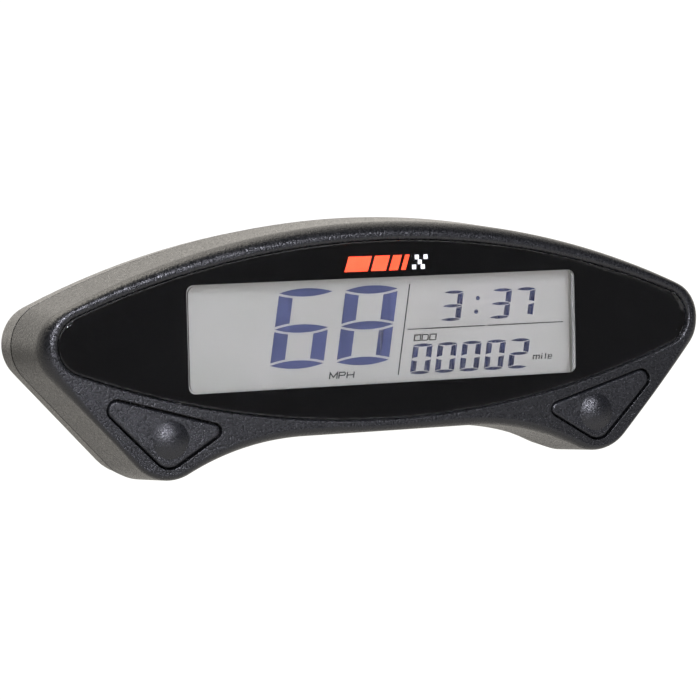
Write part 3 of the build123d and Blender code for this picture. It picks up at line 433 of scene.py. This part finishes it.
def touching_centre(corner, along, inward, radius, other, reach):
    """Centre of a corner arc that touches a line and lies this far from another centre."""
    start = corner + inward * radius - other
    half = start.dot(along)
    root = math.sqrt(half**2 - start.length_squared + reach**2)
    centres = (other + start + along * (-half + sign * root) for sign in (1, -1))
    return min(centres, key=lambda centre: (centre - corner).length)


def beside_lens(points):
    """Keeps the rim clear of the lens opening and its own rounded edge."""
    lens = [place for place, _, _ in lens_outline()]
    kept = []
    for place, normal, roll in points:
        room = min((place - other).length for other in lens) - FLAT_BESIDE_LENS
        kept.append((place, normal, min(roll, room)))
    return kept


def case_outline():
    """The case at its front face: top, tip, side, lobe, flank and arch, then the mirror image."""
    tip = Vector((TIP_CORNER_X, arc_top(TOP_APEX, TOP_RADIUS, TIP_CORNER_X)))
    along = (LOBE_CORNER - tip).normalized()
    inward = Vector((along.y, -along.x))
    tip_reach, lobe_reach = TOP_RADIUS - TIP_ROUND, FLANK_RADIUS + LOBE_ROUND
    tip_centre = touching_centre(tip, along, inward, TIP_ROUND, TOP_CENTRE, tip_reach)
    lobe_centre = touching_centre(
        LOBE_CORNER, along, inward, LOBE_ROUND, FLANK_CENTRE, lobe_reach
    )
    side_angle = heading(Vector((0, 0)), -inward)
    tip_angle = heading(TOP_CENTRE, tip_centre)
    lobe_end = heading(lobe_centre, FLANK_CENTRE)
    flank_start = heading(FLANK_CENTRE, lobe_centre)
    side_start, side_end = tip_centre - inward * TIP_ROUND, lobe_centre - inward * LOBE_ROUND
    arch_side, arch_middle = Vector((ARCH_FLAT_HALF, ARCH_LEVEL)), Vector((0, ARCH_LEVEL))
    half = arc_points(TOP_CENTRE, TOP_RADIUS, math.pi / 2, tip_angle, ROLL_TOP)
    half += arc_points(tip_centre, TIP_ROUND, tip_angle, side_angle, ROLL_TOP)
    half += line_points(side_start, side_end, ROLL_SIDE)
    half += arc_points(lobe_centre, LOBE_ROUND, side_angle, lobe_end, ROLL_SIDE)
    half += arc_points(FLANK_CENTRE, FLANK_RADIUS, flank_start, math.pi / 2, ROLL_ARCH, -1)
    half += line_points(arch_side, arch_middle, ROLL_ARCH)
    half.append((arch_middle, Vector((0, -1)), ROLL_ARCH))
    return beside_lens(smooth_roll(mirrored(half)))


print("case outline:", len(case_outline()), "points")

# %% [markdown]
# ## Front bezel
#
# The bezel is a hollow moulded shell, with the lens and the two button caps set into its face. It
# could be a curve with a bevel, but a bevel has one width all round. So it is built as a closed
# solid from rings of points that are joined into strips. Every ring point carries its true normal,
# so the rounded edges shade as smooth curves and the flat faces stay flat.

# %% Rings and strips
def tilted(normal, forward):
    """An outline normal, leaning towards the front by this angle."""
    return Vector((normal.x * math.cos(forward), -math.sin(forward), normal.y * math.cos(forward)))


def add_ring(mesh, outline, offsets, heights, normals):
    """Adds one ring of vertices; offsets and heights may change from point to point."""
    ring = []
    for (place, normal, _), offset, height, facing in zip(
        outline, offsets, heights, normals, strict=True
    ):
        spot = place + normal * offset
        ring.append(mesh["bm"].verts.new(Vector((spot.x, -height, spot.y)) * MM))
        mesh["normals"].append(facing)
    return ring


def even_ring(mesh, outline, offset, height, normals):
    """A ring with the same offset and height all round."""
    return add_ring(mesh, outline, [offset] * len(outline), [height] * len(outline), normals)


def strip(mesh, rings):
    """Joins each ring to the next one with a band of four-sided faces."""
    for lower, upper in zip(rings, rings[1:], strict=False):
        for i in range(len(lower)):
            j = (i + 1) % len(lower)
            mesh["bm"].faces.new((lower[i], lower[j], upper[j], upper[i]))


print("a normal leaning 45 degrees:", tilted(Vector((0, 1)), math.pi / 4))

# %% [markdown]
# ### Flat faces with openings
#
# The flat front has three openings in it, and no strip can fill a shape like that. A Delaunay
# triangulation that keeps the rings' edges does. It also fills the openings, so the triangles whose
# middle is inside one are left out.

# %% Flat faces with openings
# Which triangles the triangulation returns, and how near two points count as one.
INSIDE_THE_EDGES = 1
SAME_POINT = 1e-6


def inside(point, ring):
    """Whether a point lies inside a closed ring of (x, z) pairs."""
    crossings = 0
    for (x0, z0), (x1, z1) in zip(ring, ring[1:] + ring[:1], strict=True):
        if (z0 > point[1]) != (z1 > point[1]):
            crossings += point[0] < x0 + (point[1] - z0) * (x1 - x0) / (z1 - z0)
    return crossings % 2 == 1


def flat_place(vert):
    """A vertex's place in the plane of the display, in millimetres."""
    return vert.co.x / MM, vert.co.z / MM


def fill(mesh, outer, holes):
    """Flat face between an outer ring and its openings."""
    verts = [vert for ring in [outer, *holes] for vert in ring]
    edges, start = [], 0
    for ring in [outer, *holes]:
        edges += [(start + i, start + (i + 1) % len(ring)) for i in range(len(ring))]
        start += len(ring)
    places = [Vector(flat_place(vert)) for vert in verts]
    shapes = [[flat_place(vert) for vert in ring] for ring in holes]
    points, _, faces, origins, _, _ = delaunay_2d_cdt(
        places, edges, [], INSIDE_THE_EDGES, SAME_POINT
    )
    for face in faces:
        middle = sum((points[i] for i in face), Vector((0, 0))) / len(face)
        if not any(inside(middle, shape) for shape in shapes):
            mesh["bm"].faces.new([verts[origins[i][0]] for i in face])


print("unit square holds its middle:", inside((0.5, 0.5), [(0, 0), (1, 0), (1, 1), (0, 1)]))

# %% [markdown]
# ### Walls and rounded edges
#
# The outer wall grows slightly from the front to the parting line, as a moulded wall does so that
# it can leave its mould. Its rim is a quarter ellipse, deeper than it is wide, which gives the long
# soft highlight along the top. A narrow seam is left open at the parting line, and shows as the
# fine dark line between bezel and housing.

# %% Walls and rounded edges
# Heights are measured from the back of the case towards the rider.
BEZEL_FRONT, LEDGE_BACK, PARTING = 27.3, 22.95, 13.3
SEAM, BEZEL_WALL, DRAFT_GROW = 0.22, 1.4, 0.9
DRAFT_ANGLE = math.atan(DRAFT_GROW / (BEZEL_FRONT - PARTING))
# Depth of the rim for each millimetre of its width.
ROLL_DEPTH = 1.45
ROLL_STEPS, EDGE_STEPS = 12, 5


def rounded_rim(mesh, case):
    """Outer wall and rim, from the parting line to the flat face; returns their rings."""
    wall_facing = [tilted(normal, DRAFT_ANGLE) for _, normal, _ in case]
    rings = [even_ring(mesh, case, DRAFT_GROW, PARTING + SEAM, wall_facing)]
    rolls = [roll for _, _, roll in case]
    drafts = [DRAFT_GROW * ROLL_DEPTH * roll / (BEZEL_FRONT - PARTING) for roll in rolls]
    for step in range(ROLL_STEPS + 1):
        angle = math.pi / 2 * step / ROLL_STEPS
        lean = math.atan2(math.sin(angle), math.cos(angle) * ROLL_DEPTH)
        facing = [tilted(normal, lean) for _, normal, _ in case]
        offsets = [(r + d) * math.cos(angle) - r for r, d in zip(rolls, drafts, strict=True)]
        heights = [BEZEL_FRONT - ROLL_DEPTH * r * (1 - math.sin(angle)) for r in rolls]
        rings.append(add_ring(mesh, case, offsets, heights, facing))
    strip(mesh, rings)
    return rings


def opening(mesh, outline, gap):
    """Rounded edge and wall of an opening; returns its front ring and its deepest ring."""
    inner = [-normal for _, normal, _ in outline]
    rings = []
    for step in range(EDGE_STEPS + 1):
        angle = math.pi / 2 * (1 - step / EDGE_STEPS)
        facing = [tilted(normal, angle) for normal in inner]
        offsets = [gap + roll * (1 - math.cos(angle)) for _, _, roll in outline]
        heights = [BEZEL_FRONT - roll * (1 - math.sin(angle)) for _, _, roll in outline]
        rings.append(add_ring(mesh, outline, offsets, heights, facing))
    wall_facing = [tilted(normal, 0) for normal in inner]
    rings.append(even_ring(mesh, outline, gap, LEDGE_BACK, wall_facing))
    strip(mesh, rings)
    return rings[0], rings[-1]


print("wall leans", round(math.degrees(DRAFT_ANGLE), 1), "degrees")

# %% [markdown]
# ### Skin
#
# The walls, the flat front and the cavity behind it close into one solid. It rides on the root
# body, because the case doesn't move, and it stands for the CAD bezel.

# %% Skin
LENS_GAP, BUTTON_GAP = 0.12, 0.1


def bezel_mesh():
    """The bezel's vertices and faces, with the normal of each vertex."""
    mesh = {"bm": bmesh.new(), "normals": []}
    case = case_outline()
    rim = rounded_rim(mesh, case)
    edges = [opening(mesh, lens_outline(), LENS_GAP)]
    edges += [opening(mesh, button_outline(side), BUTTON_GAP) for side in (1, -1)]
    fill(mesh, rim[-1], [front for front, _ in edges])
    inward = [-tilted(normal, 0) for _, normal, _ in case]
    depths = (PARTING + SEAM, LEDGE_BACK)
    cavity = [even_ring(mesh, case, -BEZEL_WALL, depth, inward) for depth in depths]
    strip(mesh, [rim[0], *cavity])
    fill(mesh, cavity[-1], [back for _, back in edges])
    return mesh


def smooth_piece(name, mesh):
    """An object with smooth shading that uses the normals its rings were given."""
    data = bpy.data.meshes.new(name)
    bmesh.ops.recalc_face_normals(mesh["bm"], faces=mesh["bm"].faces)
    mesh["bm"].verts.index_update()
    mesh["bm"].to_mesh(data)
    mesh["bm"].free()
    for polygon in data.polygons:
        polygon.use_smooth = True
    data.normals_split_custom_set_from_vertices(mesh["normals"])
    piece = bpy.data.objects.new(name, data)
    bpy.context.scene.collection.objects.link(piece)
    return piece


bezel_skin = smooth_piece("bezel_skin", bezel_mesh())
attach(bezel_skin, "root")
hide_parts("front_bezel")
print("bezel skin:", len(bezel_skin.data.polygons), "faces")

# %% [markdown]
# ## Materials
#
# Each material slot of the CAD record gets one finish, named for the real material and how its
# surface was made. Two kinds of finish cover the solid parts. The case and the buttons have a
# visible grain. Everything else is plain: slow patches of tone, a little uneven gloss, and relief
# where the real surface has some.
#
# Fine noise gives the grain. It bumps the surface and also changes its gloss from grain to grain,
# so that some grains catch the lamp and others don't, and that is what makes the plastic glitter.

# %% Grained plastic
PLASTIC_IOR = 1.5
# Nearly all of a noise pattern lies in this range.
MOST_NOISE = {"From_Min": 0.3, "From_Max": 0.7}
CLOUD_MM = 9
# How much glossier or duller than the average a single grain may be.
GRAIN_SMOOTHER, GRAIN_ROUGHER = 0.14, 0.2


def grained_plastic(name, tones, roughness, grain_mm, depth_mm):
    """Moulded plastic with the grain of a spark-eroded mould."""
    material, tree = new_material(name)
    place = add_node(tree, "ShaderNodeTexCoord").outputs["Object"]
    grain = add_node(
        tree, "ShaderNodeTexNoise", Vector=place, Scale=1 / (grain_mm * MM), Detail=3.0, Roughness=0.6
    ).outputs["Fac"]
    _, tone = tone_patches(tree, tones, Vector=place, Scale=1 / (CLOUD_MM * MM), Detail=2.0)
    gloss = add_node(
        tree, "ShaderNodeMapRange", Value=grain, **MOST_NOISE,
        To_Min=roughness - GRAIN_SMOOTHER, To_Max=roughness + GRAIN_ROUGHER,
    )
    relief = add_node(
        tree, "ShaderNodeBump", Height=grain, Strength=1.0, Distance=depth_mm * MM
    )
    shader = add_node(
        tree, "ShaderNodeBsdfPrincipled", Base_Color=tone, IOR=PLASTIC_IOR,
        Roughness=gloss.outputs["Result"], Normal=relief.outputs["Normal"],
    )
    add_node(tree, "ShaderNodeOutputMaterial", Surface=shader.outputs[0])
    return material


print("noise kept between", MOST_NOISE["From_Min"], "and", MOST_NOISE["From_Max"])

# %% Plain finishes
UNEVEN_GLOSS = 0.06
# No moulded or printed surface is a perfect mirror.
SMOOTHEST = 0.02


def plain_finish(name, tones, roughness, patch_mm, metallic=0.0, depth_mm=0.0, glow=0.0, specular=0.5):
    """A moulded, printed or machined surface: patches of tone, uneven gloss and a little relief."""
    material, tree = new_material(name)
    place = add_node(tree, "ShaderNodeTexCoord").outputs["Object"]
    patch, tone = tone_patches(tree, tones, Vector=place, Scale=1 / (patch_mm * MM), Detail=3.0)
    gloss = add_node(
        tree, "ShaderNodeMapRange", Value=patch, **MOST_NOISE,
        To_Min=max(SMOOTHEST, roughness - UNEVEN_GLOSS), To_Max=roughness + UNEVEN_GLOSS,
    )
    relief = add_node(
        tree, "ShaderNodeBump", Height=patch, Strength=1.0, Distance=depth_mm * MM
    )
    shader = add_node(
        tree, "ShaderNodeBsdfPrincipled", Base_Color=tone, Metallic=metallic,
        Specular_IOR_Level=specular, Roughness=gloss.outputs["Result"],
        Normal=relief.outputs["Normal"],
    )
    # Emission in the surface's own tone: a painted glow on the inks and the display ground, the lamp's
    # own light on the lamp epoxy.
    if glow:
        tree.links.new(tone, shader.inputs["Emission Color"])
        shader.inputs["Emission Strength"].default_value = glow
    add_node(tree, "ShaderNodeOutputMaterial", Surface=shader.outputs[0])
    return material


print("uneven gloss: plus or minus", UNEVEN_GLOSS)

# %% [markdown]
# ### Clear panes
#
# The lens is clear acrylic with air on both sides, so it bends and mirrors light. The glass and the
# films of the display are glued face to face, with no air between them. Nothing bends or mirrors
# there, and a chain of refracting panes that touch would only lose the light, so those panes just
# tint what is behind them.

# %% Clear panes
ACRYLIC_IOR = 1.49
# Tone of glued panes drifts this slowly.
BONDED_PATCH_MM = 20


def clear_pane(name, ior, tint):
    """Clear plastic with polished faces; light for the parts behind it passes straight through."""
    material, tree = new_material(name)
    bending = add_node(
        tree, "ShaderNodeBsdfPrincipled", Base_Color=linear(tint), Roughness=0.0, IOR=ior,
        Transmission_Weight=1.0,
    )
    straight = add_node(tree, "ShaderNodeBsdfTransparent", Color=linear(tint))
    both = by_ray(tree, "Is Shadow Ray", bending, straight)
    add_node(tree, "ShaderNodeOutputMaterial", Surface=both.outputs[0])
    return material


def bonded_pane(name, tones):
    """A pane glued between others, which only tints what is behind it."""
    material, tree = new_material(name)
    place = add_node(tree, "ShaderNodeTexCoord").outputs["Object"]
    _, tone = tone_patches(tree, tones, Vector=place, Scale=1 / (BONDED_PATCH_MM * MM))
    pane = add_node(tree, "ShaderNodeBsdfTransparent", Color=tone)
    add_node(tree, "ShaderNodeOutputMaterial", Surface=pane.outputs[0])
    return material


print("acrylic bends light by an index of", ACRYLIC_IOR)

# %% [markdown]
# ### Outside: case, buttons, lens and print
#
# These are the finishes that the eye meets first. The grain of such a case is about 0.1 mm across.
# It is drawn three to four times as coarse, because anything finer turns to an even grey.

# %% Outside finishes
materials = {
    # Moulded ABS with a spark-eroded grain: soft highlights that break up into bright specks.
    "case_plastic": grained_plastic(
        "spark_grained_abs", ("#151618", "#1b1c1e"), roughness=0.27, grain_mm=0.42, depth_mm=0.11
    ),
    # The caps are the same plastic from a finer mould: a slightly paler, closer sparkle.
    "button_plastic": grained_plastic(
        "fine_grained_abs", ("#18191b", "#1e1f22"), roughness=0.27, grain_mm=0.3, depth_mm=0.09
    ),
    # Cast and polished acrylic: a clean mirror over a deep black, with no colour of its own.
    "lens_clear": clear_pane("polished_acrylic", ACRYLIC_IOR, "#fbfcfc"),
    # Matt ink printed on the back of the lens: the only gloss over it is the lens's own.
    "mask_print": plain_finish(
        "screen_printed_black_ink", ("#020202", "#040404"), 0.9, patch_mm=3.0, specular=0.05
    ),
    # Opaque orange ink: flat and strong, with a painted glow (emission) that keeps it bright behind
    # the lens.
    "orange_print": plain_finish(
        "screen_printed_orange_ink_painted_glow", ("#ff3c0a", "#ff4510"), 0.4, patch_mm=2.0, glow=0.25
    ),
    # Opaque white ink with a painted glow (emission): the brightest spot on the face.
    "white_print": plain_finish(
        "screen_printed_white_ink_painted_glow", ("#f2f2f2", "#ffffff"), 0.4, patch_mm=2.0, glow=0.25
    ),
}
print("outside finishes:", len(materials))

# %% [markdown]
# ### Display
#
# A reflective liquid crystal cell is a stack of films and glass over a grey ground. The ground
# throws back the room's light, a painted glow (emission) on top makes it soft and evenly bright, and
# switched segments block it.

# %% Display finishes
materials |= {
    # Thin glass, glued in: almost nothing to see, with a trace of green.
    "display_glass": bonded_pane("bonded_float_glass", ("#fcfefd", "#ffffff")),
    # Stretched film, glued on: it dims the stack a little and warms it.
    "polarizer_film": bonded_pane("bonded_polarizing_film", ("#f4f4f1", "#f8f8f6")),
    # Film with a pearly back: an even silver-grey, lifted by a painted glow (emission) in its own
    # tone.
    "display_ground": plain_finish(
        "reflective_polarizing_film_painted_glow", ("#ccc8c9", "#d2cecf"), 0.7, patch_mm=0.3, glow=0.24
    ),
    # Liquid crystal under voltage: dusky blue, because the film passes a little blue light.
    "digit_ink": plain_finish(
        "switched_liquid_crystal", ("#454b79", "#4b517f"), 0.6, patch_mm=1.0
    ),
    # Thin printed lines and units: neutral dark grey, less blue than the segments.
    "legend_ink": plain_finish(
        "screen_printed_grey_ink", ("#3c3d40", "#46474a"), 0.5, patch_mm=1.0
    ),
    # Moulded tray, light guide and plug header: an even white with a satin face.
    "white_plastic": plain_finish(
        "moulded_white_plastic", ("#e4e4e0", "#efefec"), 0.4, patch_mm=2.0
    ),
    # Silicone striped with carbon, too finely to tell the stripes apart: a mottled grey.
    "contact_elastomer": plain_finish(
        "carbon_striped_silicone", ("#35353a", "#6f6f74"), 0.6, patch_mm=0.2
    ),
}
print("finishes so far:", len(materials))

# %% [markdown]
# ### Seals and tapes
#
# Soft parts between the hard ones are dull and close to black or grey. Their cells and grain are
# well under a millimetre, so they only take the shine off.

# %% Seal finishes
materials |= {
    # Die-cut foam tape: black with no highlight, because its cells swallow light.
    "tape": plain_finish("die_cut_foam_tape", ("#0b0b0b", "#141414"), 0.9, patch_mm=0.4),
    # Open foam round the display: pale grey and chalky, seen as the light edge of the window.
    "gasket_foam": plain_finish(
        "die_cut_open_foam", ("#b0b0ae", "#bcbcba"), 0.9, patch_mm=0.3, depth_mm=0.02
    ),
    # Moulded silicone: black with a broad, weak sheen.
    "seal_rubber": plain_finish(
        "moulded_silicone_rubber", ("#101010", "#1a1a1a"), 0.55, patch_mm=0.6, depth_mm=0.02
    ),
}
print("finishes so far:", len(materials))

# %% [markdown]
# ### Circuit board and its parts
#
# These are hidden in the closed case, and seen when it is taken apart. Their colours are the usual
# ones, so that each part is known at a glance.

# %% Board finishes
materials |= {
    # Glass fibre under solder mask: glossy green, a little uneven over the weave.
    "board_laminate": plain_finish(
        "solder_masked_fibreglass", ("#0e4a2c", "#15603a"), 0.25, patch_mm=1.5, depth_mm=0.01
    ),
    # Moulded epoxy of chips and switch bases: dull near-black with a fine tooth.
    "chip_plastic": plain_finish(
        "moulded_chip_epoxy", ("#141415", "#1d1d1f"), 0.6, patch_mm=0.2, depth_mm=0.01
    ),
    # Fired ceramic of the small capacitors and resistors: tan and waxy.
    "ceramic": plain_finish("fired_ceramic", ("#a88e66", "#b89c72"), 0.4, patch_mm=0.3),
    # Drawn cans and switch covers: pale silver with blurred reflections.
    "can_metal": plain_finish(
        "drawn_aluminium", ("#b8babd", "#c9cbce"), 0.3, patch_mm=0.5, metallic=1.0
    ),
    # Moulded nylon: mid grey and slightly waxy.
    "plunger_plastic": plain_finish("moulded_nylon", ("#5a5b5d", "#66676a"), 0.45, patch_mm=0.4),
    # Cast epoxy over phosphor: pale yellow, faintly lit from inside.
    "lamp_white": plain_finish(
        "cast_lamp_epoxy", ("#efe9b8", "#f6f1c8"), 0.25, patch_mm=0.4, glow=0.5
    ),
}
print("finishes so far:", len(materials))

# %% [markdown]
# ### Metal fixings
#
# A metal's colour is the colour of its reflections, so both are fully metallic and keep the
# default IOR.

# %% Metal finishes
materials |= {
    # Zinc-plated steel: a cool grey with soft reflections and cloudy plating.
    "steel": plain_finish(
        "zinc_plated_steel", ("#9fa2a6", "#b6b9bd"), 0.32, patch_mm=0.6, metallic=1.0
    ),
    # Turned brass: warm yellow, seen as the rings of the two mounting inserts.
    "brass": plain_finish("turned_brass", ("#b08d4c", "#c9a763"), 0.28, patch_mm=0.6, metallic=1.0),
}
print("materials:", len(materials))

# %% [markdown]
# ## Put the finishes on
#
# Each CAD node names its slot in the imported record. One glass is different: the rear glass is
# glued to the film behind it and shows nothing else, so it takes that film's grey and its painted
# glow.
#
# The three prints lie on the back of the lens, and two surfaces in exactly the same place flicker
# in a render. A Displace modifier draws each print back by a hair and leaves its mesh as it is.

# %% Put the finishes on
FILM_GAP_MM = 0.02
PRINTS = ("lens_mask", "orange_stripes", "white_checks")
slot_of = {piece["node"]: piece["material_slot"] for piece in frame["record"]["subparts"]}
for name, node in nodes.items():
    node.data.materials.clear()
    node.data.materials.append(materials[slot_of[name]])
nodes["rear_glass"].data.materials[0] = materials["display_ground"]
bezel_skin.data.materials.append(materials["case_plastic"])
for name in PRINTS:
    gap = nodes[name].modifiers.new("film_gap", "DISPLACE")
    gap.strength = -FILM_GAP_MM * MM
    gap.mid_level = 0.0
print("nodes finished:", len(slot_of), "and prints set back:", len(PRINTS))
